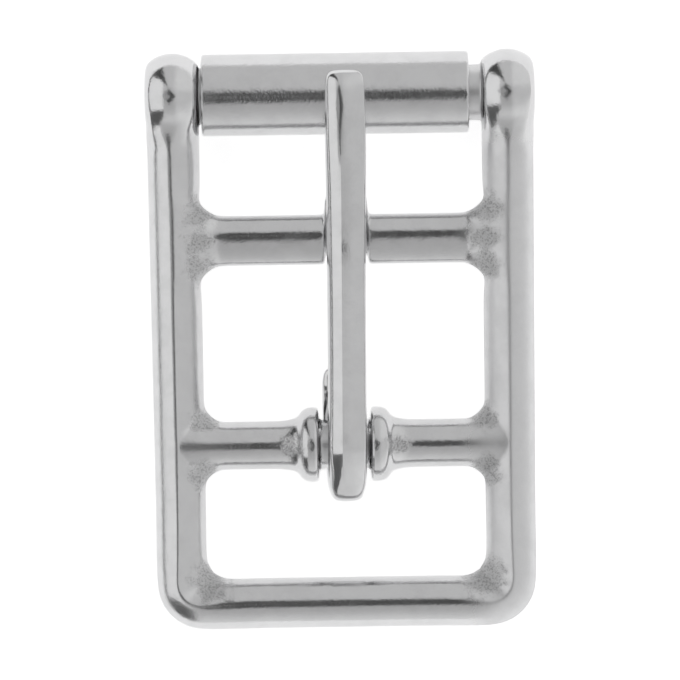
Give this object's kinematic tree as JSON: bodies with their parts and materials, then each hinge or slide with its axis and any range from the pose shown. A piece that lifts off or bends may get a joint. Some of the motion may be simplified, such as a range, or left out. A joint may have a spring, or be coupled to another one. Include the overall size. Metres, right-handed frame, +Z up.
{
  "type": "saddle buckle",
  "caption": "Roller girth buckle of cast stainless steel: a frame with cross bars and round bosses, a free-turning roller, and a tongue bent round its own collared bar.",
  "frame": {"origin": "on the surface that the buckle lies on, under the middle of its bounding box", "axes": "+X along the roller, +Y from the foot bar to the roller, +Z up out of the front face"},
  "size_m": [0.0354, 0.0524, 0.0094],
  "materials": {
    "cast_steel": "cast stainless steel, tumbled and polished to a satin, with cast grain left in the inner corners",
    "rolled_steel": "rolled stainless steel sheet, satin polished",
    "forged_steel": "bent stainless steel bar, tumbled and polished to a satin"
  },
  "bodies": {
    "frame": {"frame": "cast_steel"},
    "roller": {"roller": "rolled_steel"},
    "tongue": {"tongue": "forged_steel"}
  },
  "joints": [
    {"name": "roller_spin", "type": "hinge", "parent": "frame", "child": "roller", "pos_m": [-0.00042, 0.02225, 0.00395], "axis": [1, 0, 0], "continuous": true},
    {"name": "tongue_swing", "type": "hinge", "parent": "frame", "child": "tongue", "pos_m": [0, -0.00953, 0.00395], "axis": [1, 0, 0], "range_deg": [0, 150]}
  ]
}
